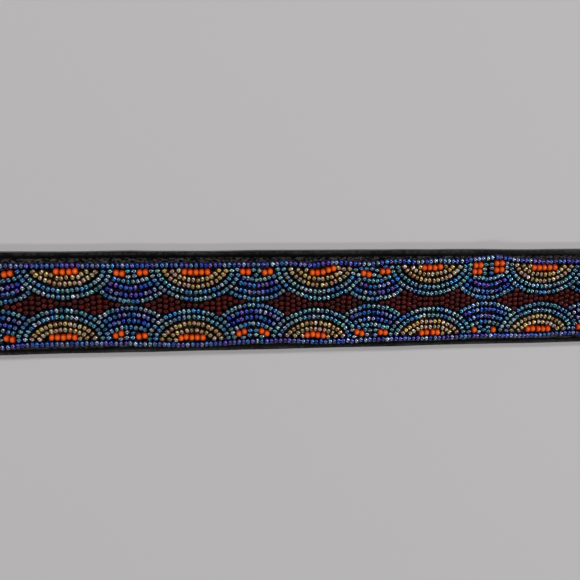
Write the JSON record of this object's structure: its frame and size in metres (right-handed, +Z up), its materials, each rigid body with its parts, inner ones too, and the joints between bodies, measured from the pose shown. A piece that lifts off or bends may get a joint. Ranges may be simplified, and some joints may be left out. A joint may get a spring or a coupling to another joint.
{
  "type": "beaded belt",
  "caption": "Flat leather belt with a seed-bead panel of facing arches and lozenges between border rows, prong holes towards its rounded tip and a plain rectangular buckle.",
  "frame": {"origin": "middle of the belt's length and width, on the plane that its underside lies on", "axes": "+X along the belt from the buckle to the tip, +Y across it, +Z up out of the beadwork"},
  "size_m": [1.0384, 0.0494, 0.0078],
  "materials": {
    "black_leather": "smooth black belt leather with a low sheen",
    "ground_fabric": "matt black backing with a fibrous cut edge",
    "border_beads": "dark royal blue glass seed beads with a violet lustre",
    "arch_beads": "teal and blue glass seed beads with a rainbow lustre",
    "fan_beads": "topaz and khaki glass seed beads with a rainbow lustre",
    "garnet_beads": "dark garnet glass seed beads, plain gloss",
    "orange_beads": "opaque orange glass seed beads, plain gloss",
    "buckle_metal": "satin nickel-coloured metal"
  },
  "bodies": {
    "root": {"strap": "black_leather", "buckle": "buckle_metal", "bead_ground": "ground_fabric", "upper_border_row": "border_beads", "lower_border_row": "border_beads", "buckle_end_row": "border_beads", "tip_end_row": "border_beads", "upper_arch_band": "arch_beads", "lower_arch_band": "arch_beads", "upper_fan_01": "fan_beads", "lower_fan_01": "fan_beads", "garnet_lozenge_01": "garnet_beads", "upper_fan_02": "fan_beads", "lower_fan_02": "fan_beads", "garnet_lozenge_02": "garnet_beads", "upper_fan_03": "fan_beads", "lower_fan_03": "fan_beads", "garnet_lozenge_03": "garnet_beads", "upper_fan_04": "fan_beads", "lower_fan_04": "fan_beads", "garnet_lozenge_04": "garnet_beads", "upper_fan_05": "fan_beads", "lower_fan_05": "fan_beads", "garnet_lozenge_05": "garnet_beads", "upper_fan_06": "fan_beads", "lower_fan_06": "fan_beads", "garnet_lozenge_06": "garnet_beads", "upper_fan_07": "fan_beads", "lower_fan_07": "fan_beads", "garnet_lozenge_07": "garnet_beads", "upper_fan_08": "fan_beads", "lower_fan_08": "fan_beads", "garnet_lozenge_08": "garnet_beads", "upper_fan_09": "fan_beads", "lower_fan_09": "fan_beads", "garnet_lozenge_09": "garnet_beads", "upper_fan_10": "fan_beads", "lower_fan_10": "fan_beads", "garnet_lozenge_10": "garnet_beads", "upper_fan_11": "fan_beads", "lower_fan_11": "fan_beads", "garnet_lozenge_11": "garnet_beads", "upper_fan_12": "fan_beads", "lower_fan_12": "fan_beads", "garnet_lozenge_12": "garnet_beads", "upper_fan_13": "fan_beads", "lower_fan_13": "fan_beads", "garnet_lozenge_13": "garnet_beads", "upper_fan_14": "fan_beads", "lower_fan_14": "fan_beads", "garnet_lozenge_14": "garnet_beads", "upper_fan_15": "fan_beads", "lower_fan_15": "fan_beads", "garnet_lozenge_15": "garnet_beads", "upper_fan_16": "fan_beads", "lower_fan_16": "fan_beads", "garnet_lozenge_16": "garnet_beads"}
  },
  "joints": []
}
